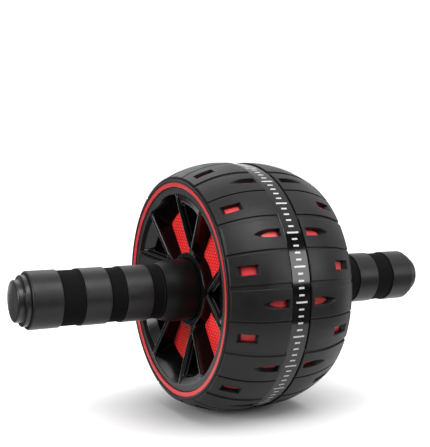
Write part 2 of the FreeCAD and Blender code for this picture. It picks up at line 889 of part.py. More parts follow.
def grip_sleeve(side, place, start, end, end_round):
    """One smooth stretch of the grip, with soft edges."""
    body = new_body(f"{side}_grip_sleeve_{place}")
    edge = size("grip_edge_round")
    revolve(body, [
        (start, sleeve_bore),
        (start, grip_radius - edge, edge),
        (start + edge, grip_radius),
        (end - end_round, grip_radius, end_round),
        (end, grip_radius - end_round),
        (end, sleeve_bore),
    ])
    return half_turned(body, side)


def grip_band(side, place, start, end):
    """One textured stretch of the grip, set lower, with a bead at the end towards the wheel."""
    body = new_body(f"{side}_grip_band_{place}")
    top = grip_radius - size("grip_band_depth")
    bead = size("grip_bead_width")
    revolve(body, [
        (start, sleeve_bore),
        (start, top, bow(bead / 2, size("grip_bead_rise"))),
        (start + bead, top),
        (end, top),
        (end, sleeve_bore),
    ])
    return half_turned(body, side)


def end_cap(side):
    """Stepped cap with a low dome, plugged into the handle's end."""
    body = new_body(f"{side}_end_cap")
    plug = cap_bore - size("fit_clearance")
    plug_bore = plug - size("cap_plug_wall")
    soft = size("cap_round")
    ring_top = handle_end + size("cap_ring_height")
    dome = size("cap_ring_radius") - size("cap_step")
    dome_soft = size("cap_dome_round")
    dome_side = ring_top + size("cap_dome_side")
    crown_start = dome - dome_soft
    revolve(body, [
        (handle_end, ZERO),
        (handle_end, plug_bore),
        (handle_end - size("cap_plug_length"), plug_bore),
        (handle_end - size("cap_plug_length"), plug),
        (handle_end, plug),
        (handle_end, size("cap_ring_radius")),
        (ring_top - soft, size("cap_ring_radius"), soft),
        (ring_top, size("cap_ring_radius") - soft),
        (ring_top, dome),
        (dome_side, dome, dome_soft),
        (dome_side + dome_soft, crown_start, bow(crown_start, size("cap_dome_crown"))),
        (dome_side + dome_soft + size("cap_dome_crown"), ZERO),
    ])
    return half_turned(body, side)


def handle(side):
    """All the pieces of one handle."""
    places = ("outer", "middle", "inner")
    sleeve_ends = [handle_end] + [grip_place(f"{place}_band_start") for place in places[:-1]]
    pieces = [handle_core(side), hub_collar(side), handle_washer(side), handle_bolt(side), end_cap(side)]
    for place, sleeve_end in zip(places, sleeve_ends):
        start = grip_place(f"{place}_band_start")
        end = grip_place(f"{place}_band_end")
        end_round = size("grip_end_round") if place == "outer" else size("grip_edge_round")
        pieces.append(grip_band(side, place, start, end))
        pieces.append(grip_sleeve(side, place, end, sleeve_end, end_round))
    return pieces


def bearing(side):
    """All the pieces of one ball bearing."""
    return [bearing_inner_ring(side), bearing_outer_ring(side), bearing_shields(side),
            bearing_cage(side), bearing_balls(side)]


# Build, test and write

pieces = [axle_shaft(), bearing_spacer(), centre_band(), core_screws()]
for side in ("left", "right"):
    pieces += [tyre(side), core(side), spoke_cover(side)] + bearing(side) + handle(side)
doc.recompute()

failed = [o.Name for o in doc.Objects if {"Invalid", "Error"} & set(o.State)]
failed += [p.Label for p in pieces if p.Shape.isNull() or not p.Shape.isValid()]
if failed:
    raise RuntimeError(f"failed pieces: {failed}")

os.makedirs("parts", exist_ok=True)
for piece in pieces:
    piece.Shape.exportStep(f"parts/{piece.Label}.step")
    print(piece.Label, len(piece.Shape.Solids), "solids", round(piece.Shape.Volume), "mm3")
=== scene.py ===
"""Ab wheel roller: finishes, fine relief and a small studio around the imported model.

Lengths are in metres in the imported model's frame: the axle lies along Y, Z is up, and the origin is
the wheel's centre. The left handle, at -Y, is the one nearer to the camera.
"""
import json
import logging
import math
from dataclasses import dataclass, field
from enum import Enum
from typing import ClassVar, Union

import bmesh
import bpy
import numpy as np
from mathutils import Matrix, Vector


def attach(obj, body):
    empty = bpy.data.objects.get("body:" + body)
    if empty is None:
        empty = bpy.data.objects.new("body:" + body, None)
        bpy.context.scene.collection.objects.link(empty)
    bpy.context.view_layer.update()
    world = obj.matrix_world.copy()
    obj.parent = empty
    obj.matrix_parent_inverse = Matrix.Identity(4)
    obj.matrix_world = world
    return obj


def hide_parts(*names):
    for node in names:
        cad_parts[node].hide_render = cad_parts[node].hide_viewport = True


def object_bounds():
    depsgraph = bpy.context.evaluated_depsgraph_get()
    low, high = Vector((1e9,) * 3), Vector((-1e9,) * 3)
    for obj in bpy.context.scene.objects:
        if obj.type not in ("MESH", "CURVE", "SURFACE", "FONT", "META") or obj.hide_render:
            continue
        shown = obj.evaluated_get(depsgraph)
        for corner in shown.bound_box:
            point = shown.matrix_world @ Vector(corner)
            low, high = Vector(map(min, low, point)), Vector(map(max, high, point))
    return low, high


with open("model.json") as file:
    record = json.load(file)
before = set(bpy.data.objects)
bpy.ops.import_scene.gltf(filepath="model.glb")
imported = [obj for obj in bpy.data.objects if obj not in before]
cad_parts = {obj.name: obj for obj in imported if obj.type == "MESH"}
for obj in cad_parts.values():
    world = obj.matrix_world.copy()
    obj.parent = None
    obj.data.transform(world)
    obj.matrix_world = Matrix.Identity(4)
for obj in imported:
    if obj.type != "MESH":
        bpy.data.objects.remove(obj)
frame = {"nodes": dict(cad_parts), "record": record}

CAD_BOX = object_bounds()
MM = 0.001
FULL_TURN = 2.0 * math.pi
WHEEL = "wheel"
HANDLES = "handle_assembly"
SPOKE_COUNT = 5
SPOKE_PHASE_DEG = 1.5
# The dished front of the spoke covers lies at DISH_START + DISH_SLOPE * radius along the axle.
DISH_HUB_RADIUS, DISH_HUB_PLACE = 25.5 * MM, 37.6 * MM
DISH_SLOPE = 8.1 / 40.29
DISH_START = DISH_HUB_PLACE - DISH_SLOPE * DISH_HUB_RADIUS
# A noise texture seldom leaves this range.
NOISE_RANGE = (0.3, 0.7)
UNIT_RANGE = (0.0, 1.0)
# Scales that keep what lies across the axle.
ACROSS_AXLE = (1.0, 0.0, 1.0)
log = logging.getLogger("ab_wheel_roller")

Colour = tuple[float, float, float]
# A node's Value output, a node with the name of an output, or a number.
Operand = Union[bpy.types.Node, tuple[bpy.types.Node, str], float]


class Side(Enum):
    """The two sides of the roller, with the sign of Y there."""

    LEFT = -1
    RIGHT = 1

    @property
    def label(self) -> str:
        """The word that node names start with."""
        return self.name.lower()


class Flank(Enum):
    """The two arms of a spoke, with the sign of their turn from the spoke's middle."""

    A = 1
    B = -1

    @property
    def label(self) -> str:
        """The letter that names of pieces end with."""
        return self.name.lower()


class Stretch(Enum):
    """The textured stretches of a grip, with the places along the axle of their two ends."""

    OUTER = (117.2 * MM, 131.8 * MM)
    MIDDLE = (88.9 * MM, 99.8 * MM)
    INNER = (61.3 * MM, 70.6 * MM)

    @property
    def label(self) -> str:
        """The word that node names end with."""
        return self.name.lower()


# Meshes from arrays

def surface_object(name: str, points: np.ndarray, wrap_rows: bool, wrap_columns: bool,
                   crease_deg: float = 32.0) -> bpy.types.Object:
    """Makes an object from a grid of points, one quad for each cell of the grid.

    Args:
        name: the object's name.
        points: array of rows x columns x 3, in metres.
        wrap_rows: whether the last row joins the first.
        wrap_columns: whether the last column joins the first.
        crease_deg: edges that bend by more than this stay sharp in shading.

    Returns:
        The object, linked to the scene at the origin.
    """
    rows, columns = points.shape[:2]
    i = np.arange(rows if wrap_rows else rows - 1)[:, None]
    j = np.arange(columns if wrap_columns else columns - 1)[None, :]
    here, below = i * columns, (i + 1) % rows * columns
    j_next = (j + 1) % columns
    quads = np.stack([here + j, here + j_next, below + j_next, below + j], -1).reshape(-1, 4)
    mesh = bpy.data.meshes.new(name)
    mesh.vertices.add(rows * columns)
    mesh.vertices.foreach_set("co", points.reshape(-1).astype(np.float32))
    mesh.loops.add(quads.size)
    mesh.loops.foreach_set("vertex_index", quads.reshape(-1).astype(np.int32))
    mesh.polygons.add(len(quads))
    mesh.polygons.foreach_set("loop_start", (np.arange(len(quads)) * 4).astype(np.int32))
    mesh.update(calc_edges=True)
    mesh.validate()
    mesh.polygons.foreach_set("use_smooth", np.ones(len(mesh.polygons), dtype=bool))
    mesh.set_sharp_from_angle(angle=math.radians(crease_deg))
    piece = bpy.data.objects.new(name, mesh)
    bpy.context.scene.collection.objects.link(piece)
    return piece


def arc(centre: tuple[float, float], radius: float, start_deg: float, end_deg: float,
        steps: int) -> np.ndarray:
    """Points of an arc: centre + radius * (cos a, sin a), with a going evenly from start to end.

    Args:
        centre: the arc's centre, as (place along the axle, radius).
        radius: the arc's radius.
        start_deg: the first point's angle.
        end_deg: the last point's angle.
        steps: how many points.

    Returns:
        Array of steps x 2.
    """
    angles = np.radians(np.linspace(start_deg, end_deg, steps))
    return np.stack([centre[0] + radius * np.cos(angles), centre[1] + radius * np.sin(angles)], -1)


def close_poles(piece: bpy.types.Object, reach: float = 1.0e-7) -> None:
    """Merges the points that fall together where a grid's first or last row shrinks to a point.

    Args:
        piece: the object with the grid.
        reach: how far apart points may lie to be merged.
    """
    shell = bmesh.new()
    shell.from_mesh(piece.data)
    bmesh.ops.remove_doubles(shell, verts=shell.verts, dist=reach)
    shell.to_mesh(piece.data)
    shell.free()


def add_relief(piece: bpy.types.Object, relief: np.ndarray) -> None:
    """Keeps the relief, from 0 to 1, as an attribute of the piece's points."""
    layer = piece.data.attributes.new("relief", "FLOAT", "POINT")
    layer.data.foreach_set("value", relief.reshape(-1).astype(np.float32))


# Node wiring

class NodeDesk:
    """A node tree with short ways to add and join nodes."""

    def __init__(self, tree: bpy.types.NodeTree) -> None:
        """Takes the tree that the nodes go into."""
        self.tree = tree

    def add(self, kind: str, **settings: object) -> bpy.types.Node:
        """Adds a node.

        Args:
            kind: Blender's name of the node's type.
            settings: values of inputs, where the name is an input's, or of properties.

        Returns:
            The node.
        """
        node = self.tree.nodes.new(kind)
        for key, value in settings.items():
            if key in node.inputs:
                node.inputs[key].default_value = value
            else:
                setattr(node, key, value)
        return node

    def link(self, source: bpy.types.Node, out: str, target: bpy.types.Node, into: str | int) -> None:
        """Joins one node's output to another node's input."""
        self.tree.links.new(source.outputs[out], target.inputs[into])

    def socket(self, operand: Operand) -> bpy.types.NodeSocket:
        """The output that a node, or a node with an output's name, stands for."""
        node, out = operand if isinstance(operand, tuple) else (operand, "Value")
        return node.outputs[out]

    def place(self) -> bpy.types.Node:
        """A Texture Coordinate node, of which Object and Normal are used."""
        return self.add("ShaderNodeTexCoord")

    def axes(self, out: str = "Object") -> bpy.types.Node:
        """The X, Y and Z of the object's coordinates or of its normal.

        Args:
            out: the output of the Texture Coordinate node.

        Returns:
            The node with the three values.
        """
        node = self.add("ShaderNodeSeparateXYZ")
        self.link(self.place(), out, node, "Vector")
        return node

    def scaled_place(self, scales: tuple[float, float, float]) -> bpy.types.Node:
        """The object's coordinates, each times a scale of its own.

        Args:
            scales: the scales of X, Y and Z.

        Returns:
            The node with the vector.
        """
        node = self.add("ShaderNodeVectorMath", operation="MULTIPLY")
        node.inputs[1].default_value = scales
        self.link(self.place(), "Object", node, 0)
        return node

    def length(self, vector: bpy.types.Node) -> bpy.types.Node:
        """The length of another node's vector.

        Args:
            vector: the node with the vector.

        Returns:
            The node with the length as its Value.
        """
        node = self.add("ShaderNodeVectorMath", operation="LENGTH")
        self.link(vector, "Vector", node, 0)
        return node

    def noise(self, size: float, detail: float, roughness: float) -> bpy.types.Node:
        """A noise texture on the object's coordinates.

        Args:
            size: about how large its lumps are.
            detail: how many finer layers it has.
            roughness: how strong the finer layers are.

        Returns:
            The node.
        """
        node = self.add("ShaderNodeTexNoise", Scale=1.0 / size, Detail=detail, Roughness=roughness)
        self.link(self.place(), "Object", node, "Vector")
        return node

    def math(self, operation: str, *operands: Operand) -> bpy.types.Node:
        """A Math node.

        Args:
            operation: Blender's name of the operation.
            operands: what it works on, in order.

        Returns:
            The node.
        """
        node = self.add("ShaderNodeMath", operation=operation)
        for into, operand in zip(node.inputs, operands):
            if isinstance(operand, (int, float)):
                into.default_value = operand
            else:
                self.tree.links.new(self.socket(operand), into)
        return node

    def ramp(self, value: Operand, source: tuple[float, float], target: tuple[float, float] = UNIT_RANGE,
             interpolation: str = "LINEAR") -> bpy.types.Node:
        """A Map Range node, which takes one range to another and stops at its ends.

        Args:
            value: what is mapped.
            source: the range of the value.
            target: the range of the result.
            interpolation: Blender's name of the way between the ends.

        Returns:
            The node.
        """
        node = self.add("ShaderNodeMapRange", interpolation_type=interpolation)
        for name, end in zip(("From Min", "From Max", "To Min", "To Max"), (*source, *target)):
            node.inputs[name].default_value = end
        self.tree.links.new(self.socket(value), node.inputs["Value"])
        return node

    def mix(self, factor: Operand, plain: bpy.types.NodeSocket,
            value: Colour | float) -> bpy.types.NodeSocket:
        """Blends from a wired value to a written one.

        Args:
            factor: 0 for the wired value and 1 for the written one.
            plain: the wired value, a colour or a number.
            value: the written colour or number.

        Returns:
            The socket with the blend.
        """
        is_colour = isinstance(value, tuple)
        node = self.add("ShaderNodeMix", data_type="RGBA" if is_colour else "FLOAT")
        share, first, second = (s for s in node.inputs if s.enabled)
        self.tree.links.new(self.socket(factor), share)
        self.tree.links.new(plain, first)
        second.default_value = (*value, 1.0) if is_colour else value
        return next(s for s in node.outputs if s.enabled)


class NodeBench(NodeDesk):
    """A new material's node tree with a principled shader."""

    def __init__(self, name: str) -> None:
        """Makes the material.

        Args:
            name: the material's name.
        """
        self.material = bpy.data.materials.new(name)
        self.material.use_nodes = True
        super().__init__(self.material.node_tree)
        self.tree.nodes.clear()
        self.shader = self.add("ShaderNodeBsdfPrincipled")
        self.link(self.shader, "BSDF", self.add("ShaderNodeOutputMaterial"), "Surface")

    def wired(self, name: str) -> bpy.types.NodeSocket:
        """The output that is wired to one of the shader's inputs."""
        return self.shader.inputs[name].links[0].from_socket

    def cover(self, name: str, factor: Operand, value: Colour | float) -> None:
        """Blends a written colour or number over what one of the shader's inputs has."""
        self.tree.links.new(self.mix(factor, self.wired(name), value), self.shader.inputs[name])


# Finishes

@dataclass(frozen=True)
class MouldedFinish:
    """A moulded rubber or plastic: mottled, unevenly glossy, finely grained, and darkened in inner corners by
    painted shade.
    """

    name: str
    colour: Colour
    roughness: float
    mottle: float = 0.15
    mottle_size: float = 14.0 * MM
    mottle_detail: float = 4.0
    mottle_roughness: float = 0.55
    gloss_spread: float = 0.06
    grain_size: float = 0.5 * MM
    grain_detail: float = 2.0
    grain_roughness: float = 0.6
    grain_height: float = 0.02 * MM
    specular: float = 0.5
    edge_round: float = 0.35 * MM
    edge_samples: int = 6
    corner_reach: float = 1.2 * MM
    corner_samples: int = 4

    def material(self) -> bpy.types.Material:
        """Builds the material, or finds the one that was built before.

        Returns:
            The material.
        """
        title = f"{self.name}_finish"
        made = bpy.data.materials.get(title)
        if made is not None:
            return made
        bench = NodeBench(title)
        self.dress(bench)
        return bench.material

    def dress(self, bench: NodeBench) -> None:
        """Wires colour, gloss and grain into the shader, with painted shade in inner corners.

        Args:
            bench: the material's nodes.
        """
        cloud = bench.noise(self.mottle_size, self.mottle_detail, self.mottle_roughness)
        # Painted shade: an ambient-occlusion node that darkens the colour and the sheen in inner corners,
        # creases and grooves.
        corner = bench.add("ShaderNodeAmbientOcclusion", Distance=self.corner_reach,
                           samples=self.corner_samples)
        self.dress_colour(bench, cloud, corner)
        self.dress_gloss(bench, cloud, corner)
        self.dress_grain(bench)

    def dress_colour(self, bench: NodeBench, cloud: bpy.types.Node, corner: bpy.types.Node) -> None:
        """Wires the colour, which the cloud mottles and painted shade darkens in the corners.

        Args:
            bench: the material's nodes.
            cloud: the coarse noise.
            corner: how open the surroundings are; it darkens the colour as painted shade in corners.
        """
        tint = bench.add("ShaderNodeValToRGB")
        gains = (1.0 - self.mottle, 1.0 + self.mottle)
        for stop, position, gain in zip(tint.color_ramp.elements, NOISE_RANGE, gains):
            stop.position = position
            stop.color = (*(part * gain for part in self.colour), 1.0)
        bench.link(cloud, "Fac", tint, "Fac")
        shade = bench.add("ShaderNodeVectorMath", operation="SCALE")
        bench.link(tint, "Color", shade, 0)
        bench.link(corner, "AO", shade, "Scale")
        bench.link(shade, "Vector", bench.shader, "Base Color")

    def dress_gloss(self, bench: NodeBench, cloud: bpy.types.Node, corner: bpy.types.Node) -> None:
        """Wires the roughness, which the cloud varies, and the sheen, which painted shade weakens in the
        corners.

        Args:
            bench: the material's nodes.
            cloud: the coarse noise.
            corner: how open the surroundings are; it weakens the sheen as painted shade in corners.
        """
        sheen = bench.math("MULTIPLY", (corner, "AO"), self.specular)
        bench.link(sheen, "Value", bench.shader, "Specular IOR Level")
        spread = (self.roughness - self.gloss_spread, self.roughness + self.gloss_spread)
        gloss = bench.ramp((cloud, "Fac"), NOISE_RANGE, spread)
        bench.link(gloss, "Result", bench.shader, "Roughness")

    def dress_grain(self, bench: NodeBench) -> None:
        """Wires the fine grain and the soft edges into the normal.

        Args:
            bench: the material's nodes.
        """
        grain = bench.noise(self.grain_size, self.grain_detail, self.grain_roughness)
        edge = bench.add("ShaderNodeBevel", Radius=self.edge_round, samples=self.edge_samples)
        bump = bench.add("ShaderNodeBump", Strength=1.0, Distance=self.grain_height)
        bench.link(grain, "Fac", bump, "Height")
        bench.link(edge, "Normal", bump, "Normal")
        bench.link(bump, "Normal", bench.shader, "Normal")


@dataclass(frozen=True)
class SteelFinish(MouldedFinish):
    """Turned or ground steel: the moulded wiring on a metal."""

    def dress(self, bench: NodeBench) -> None:
        """Adds the metal on top of the moulded wiring."""
        super().dress(bench)
        bench.shader.inputs["Metallic"].default_value = 1.0


@dataclass(frozen=True)
class ScaleBandFinish(MouldedFinish):
    """Gloss black with a plain printed scale: short bars across the band, every fifth one long."""

    mark_colour: Colour = (0.62, 0.62, 0.62)
    mark_pitch_deg: float = 3.0
    mark_share: float = 0.26
    long_every: int = 5
    short_half: float = 2.0 * MM
    long_half: float = 4.2 * MM
    count_shift: float = 1000.5

    def dress(self, bench: NodeBench) -> None:
        """Adds the printed marks over the gloss black.

        The turn about the axle is counted in marks and shifted so that it is above zero. A bar lies where
        the count's fraction is near one half, and it is long where the whole count divides evenly.

        Args:
            bench: the material's nodes.
        """
        super().dress(bench)
        axes = bench.axes()
        turn = bench.math("ARCTAN2", (axes, "Z"), (axes, "X"))
        count = bench.math("DIVIDE", turn, math.radians(self.mark_pitch_deg))
        count = bench.math("ADD", count, self.count_shift)
        off_middle = bench.math("ABSOLUTE", bench.math("SUBTRACT", bench.math("FRACT", count), 0.5))
        bar = bench.math("LESS_THAN", off_middle, self.mark_share / 2.0)
        group = bench.math("FRACT", bench.math("DIVIDE", bench.math("FLOOR", count), self.long_every))
        is_long = bench.math("LESS_THAN", group, 0.5 / self.long_every)
        half = bench.math("MULTIPLY_ADD", is_long, self.long_half - self.short_half, self.short_half)
        within = bench.math("LESS_THAN", bench.math("ABSOLUTE", (axes, "Y")), half)
        bench.cover("Base Color", bench.math("MULTIPLY", bar, within), self.mark_colour)


@dataclass(frozen=True)
class RimFinish(MouldedFinish):
    """A moulded finish with a colour and a roughness of its own beyond a radius about the axle."""

    rim_radius: float = field(kw_only=True)
    rim_blend: float = field(kw_only=True)
    rim_colour: Colour = field(kw_only=True)
    rim_roughness: float = field(kw_only=True)

    def dress(self, bench: NodeBench) -> None:
        """Blends the rim's colour and roughness over the moulded ones.

        Args:
            bench: the material's nodes.
        """
        super().dress(bench)
        radius = bench.length(bench.scaled_place(ACROSS_AXLE))
        rim = bench.ramp(radius, (self.rim_radius - self.rim_blend, self.rim_radius + self.rim_blend))
        bench.cover("Base Color", (rim, "Result"), self.rim_colour)
        bench.cover("Roughness", (rim, "Result"), self.rim_roughness)


@dataclass(frozen=True)
class CoverFinish(RimFinish):
    """Gloss black with a satin rim and with dull walls in its windows and round its hub."""

    wall_specular: float = 0.05
    wall_facing: tuple[float, float] = (0.25, 0.72)
    wall_depth: tuple[float, float] = (0.5 * MM, 2.5 * MM)

    def dress(self, bench: NodeBench) -> None:
        """Blends the walls' weak gloss over the plain gloss.

        Args:
            bench: the material's nodes.
        """
        super().dress(bench)
        wall = bench.math("MULTIPLY", (self.facing(bench), "Result"), (self.depth(bench), "Result"))
        bench.cover("Specular IOR Level", wall, self.wall_specular)

    def facing(self, bench: NodeBench) -> bpy.types.Node:
        """How far the surface faces neither along the axle nor in towards it: 1 - n_y^2 - min(n_r, 0)^2.

        Args:
            bench: the material's nodes.

        Returns:
            The node with the result, from 0 to 1.
        """
        unit = bench.add("ShaderNodeVectorMath", operation="NORMALIZE")
        bench.link(bench.scaled_place(ACROSS_AXLE), "Vector", unit, 0)
        outward = bench.add("ShaderNodeVectorMath", operation="DOT_PRODUCT")
        bench.link(unit, "Vector", outward, 0)
        bench.link(bench.place(), "Normal", outward, 1)
        along = bench.math("ABSOLUTE", (bench.axes("Normal"), "Y"))
        inward = bench.math("ABSOLUTE", bench.math("MINIMUM", outward, 0.0))
        rest = bench.math("SUBTRACT", 1.0, bench.math("POWER", along, 2.0))
        rest = bench.math("SUBTRACT", rest, bench.math("POWER", inward, 2.0))
        return bench.ramp(rest, self.wall_facing)

    def depth(self, bench: NodeBench) -> bpy.types.Node:
        """How deep the surface lies under the dished front, whose place grows evenly with the radius.

        Args:
            bench: the material's nodes.

        Returns:
            The node with the result, from 0 to 1.
        """
        radius = bench.length(bench.scaled_place(ACROSS_AXLE))
        front = bench.math("ADD", bench.math("MULTIPLY", radius, DISH_SLOPE), DISH_START)
        place = bench.math("ABSOLUTE", (bench.axes(), "Y"))
        return bench.ramp(bench.math("SUBTRACT", front, place), self.wall_depth)


@dataclass(frozen=True)
class ReliefFinish(MouldedFinish):
    """A moulded finish with painted light from the piece's relief attribute: painted highlight where the
    relief is high and painted shade where it is low.
    """

    ridge_gain: float = 1.5
    groove_gain: float = 0.55

    def dress(self, bench: NodeBench) -> None:
        """Adds the relief's painted highlight and painted shade over the moulded colour.

        Args:
            bench: the material's nodes.
        """
        super().dress(bench)
        # Painted light: the colour is scaled up on the relief's ridges and down in its grooves.
        relief = bench.add("ShaderNodeAttribute", attribute_name="relief")
        gain = bench.ramp((relief, "Fac"), UNIT_RANGE, (self.groove_gain, self.ridge_gain))
        shade = bench.add("ShaderNodeVectorMath", operation="SCALE")
        bench.tree.links.new(bench.wired("Base Color"), shade.inputs[0])
        bench.link(gain, "Result", shade, "Scale")
        bench.link(shade, "Vector", bench.shader, "Base Color")


TREAD_RUBBER = MouldedFinish(
    "tread_rubber", (0.0095, 0.0095, 0.0099), 0.42, mottle=0.12, grain_height=0.010 * MM, specular=0.23,
    edge_round=0.8 * MM, corner_reach=0.7 * MM)
RED_PLASTIC = MouldedFinish("core_red", (0.64, 0.036, 0.042), 0.40, mottle=0.05, grain_height=0.006 * MM)
# Painted light: the scale panels' red is brighter than the core's own red in RED_PLASTIC, to make up for the
# light the windows keep off them; the relief adds painted highlight and shade.
RED_SCALES_PAINTED_LIGHT = ReliefFinish(
    "core_red_scales", (0.93, 0.036, 0.034), 0.40, mottle=0.05, grain_height=0.004 * MM)
GLOSS_BLACK = CoverFinish(
    "cover_gloss", (0.0035, 0.0035, 0.0038), 0.16, mottle=0.2, gloss_spread=0.03, grain_height=0.002 * MM,
    specular=0.32, edge_round=1.3 * MM, rim_radius=66.4 * MM, rim_blend=0.3 * MM,
    rim_colour=(0.030, 0.030, 0.031), rim_roughness=0.45)
BAND_GLOSS = ScaleBandFinish(
    "band_gloss", (0.0045, 0.0045, 0.005), 0.10, gloss_spread=0.02, grain_height=0.001 * MM, specular=0.4)
SMOOTH_GRIP = MouldedFinish(
    "grip_smooth", (0.014, 0.014, 0.0145), 0.41, mottle=0.12, grain_height=0.010 * MM, specular=0.25)
# The knit's ridges get painted highlight and its grooves painted shade from the relief.
TEXTURED_GRIP = ReliefFinish(
    "grip_textured", (0.0036, 0.0036, 0.0038), 0.8, mottle=0.25, mottle_size=1.6 * MM, grain_size=0.3 * MM,
    specular=0.10)
COLLAR_PLASTIC = MouldedFinish(
    "collar_plastic", (0.0050, 0.0050, 0.0050), 0.48, grain_height=0.008 * MM, specular=0.14)
# Painted light: the cap's face is a lighter grey as a painted reflection and its stepped rim a darker grey as
# painted shade; both are the same cap plastic.
CAP_PLASTIC_PAINTED_LIGHT = RimFinish(
    "cap_plastic", (0.040, 0.040, 0.041), 0.34, grain_height=0.006 * MM, specular=0.42,
    edge_round=1.4 * MM, corner_reach=2.0 * MM, rim_radius=12.4 * MM, rim_blend=0.8 * MM,
    rim_colour=(0.011, 0.011, 0.0115), rim_roughness=0.34)
HANDLE_PLASTIC = MouldedFinish("handle_plastic", (0.02, 0.02, 0.02), 0.55)
AXLE_STEEL = SteelFinish("axle_steel", (0.50, 0.50, 0.51), 0.30)
BEARING_STEEL = SteelFinish("bearing_steel", (0.66, 0.66, 0.67), 0.16)

FINISHES = {finish.name: finish for finish in (
    TREAD_RUBBER, RED_PLASTIC, GLOSS_BLACK, BAND_GLOSS, SMOOTH_GRIP, TEXTURED_GRIP, COLLAR_PLASTIC,
    CAP_PLASTIC_PAINTED_LIGHT, HANDLE_PLASTIC, AXLE_STEEL, BEARING_STEEL)}


def dress_nodes() -> None:
    """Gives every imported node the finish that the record's slot names for it."""
    for row in frame["record"]["subparts"]:
        node = frame["nodes"][row["node"]]
        node.data.materials.clear()
        node.data.materials.append(FINISHES[row["material_slot"]].material())


# Fine pieces

@dataclass
class TexturedBand:
    """One textured stretch of a grip: a ring with a bead at the wheel's end and a fine diamond knit on it."""

    side: Side
    stretch: Stretch
    bore: float = 15.05 * MM
    radius: float = 18.10 * MM
    bead_width: float = 1.6 * MM
    bead_rise: float = 0.6 * MM
    bead_steps: int = 12
    knit_depth: float = 0.14 * MM
    knit_round: int = 120
    knit_pitch: float = 1.0 * MM
    columns: int = 720
    step: float = 0.2 * MM
    min_rows: int = 8
    crease_deg: float = 60.0

    def profile(self) -> tuple[np.ndarray, np.ndarray]:
        """The ring's closed outline: the bead's arc, the knitted run and the bore.

        Returns:
            The outline as rows of (place, radius), and where on it the knit lies, from 0 to 1.
        """
        start, end = self.stretch.value
        half = self.bead_width / 2.0
        bend = (half * half + self.bead_rise * self.bead_rise) / (2.0 * self.bead_rise)
        swing = math.degrees(math.asin(half / bend))
        bead = arc((start + half, self.radius + self.bead_rise - bend), bend, 90.0 + swing, 90.0 - swing,
                   self.bead_steps)
        flat_count = max(int((end - start - self.bead_width) / self.step), self.min_rows)
        flat = np.linspace(start + self.bead_width, end, flat_count)[1:]
        knitted = np.stack([flat, np.full(len(flat), self.radius)], -1)
        inner = np.array([[end, self.bore], [start, self.bore]])
        line = np.concatenate([bead, knitted, inner])
        fade = np.concatenate([np.zeros(len(bead)), np.ones(len(flat)), np.zeros(len(inner))])
        fade[len(bead) + len(flat) - 1] = 0.0
        return line, fade

    def build(self) -> bpy.types.Object:
        """Makes the ring.

        The knit's height at a turn a and a place y is cos(n a) * cos(2 pi y / pitch), mapped to 0..1; the
        radius sinks by the knit's depth where the height is low.

        Returns:
            The ring.
        """
        line, fade = self.profile()
        angles = np.linspace(0.0, FULL_TURN, self.columns, endpoint=False)
        wave = np.outer(np.cos(FULL_TURN * line[:, 0] / self.knit_pitch), np.cos(self.knit_round * angles))
        height = 0.5 + 0.5 * wave
        radius = line[:, 1][:, None] - self.knit_depth * fade[:, None] * (1.0 - height)
        relief = np.where(fade[:, None] > 0.0, height, 0.5)
        if self.side is Side.LEFT:
            line, radius, relief = line[::-1], radius[::-1], relief[::-1]
        along = np.outer(self.side.value * line[:, 0], np.ones(self.columns))
        points = np.stack([radius * np.cos(angles), along, radius * np.sin(angles)], -1)
        node = f"{self.side.label}_grip_band_{self.stretch.label}"
        piece = surface_object(f"{node}_knit", points, True, True, self.crease_deg)
        add_relief(piece, relief)
        piece.data.materials.append(TEXTURED_GRIP.material())
        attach(piece, HANDLES)
        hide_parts(node)
        return piece


@dataclass
class TyreLip:
    """The rounded rubber bead that edges a tyre half against the red ring."""

    side: Side
    place: float = 46.4 * MM
    radius: float = 74.75 * MM
    bead: float = 1.15 * MM
    steps: int = 24
    columns: int = 360

    def build(self) -> bpy.types.Object:
        """Makes the bead: a circle in the plane of the axle, turned about the axle.

        Returns:
            The bead.
        """
        outline = arc((self.place, self.radius), self.bead, 0.0, 360.0, self.steps + 1)[:-1]
        outline = outline if self.side is Side.RIGHT else outline[::-1]
        angles = np.linspace(0.0, FULL_TURN, self.columns, endpoint=False)
        points = np.stack([np.outer(outline[:, 1], np.cos(angles)),
                           np.outer(self.side.value * outline[:, 0], np.ones_like(angles)),
                           np.outer(outline[:, 1], np.sin(angles))], -1)
        piece = surface_object(f"{self.side.label}_tyre_lip", points, True, True)
        piece.data.materials.append(TREAD_RUBBER.material())
        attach(piece, WHEEL)
        return piece


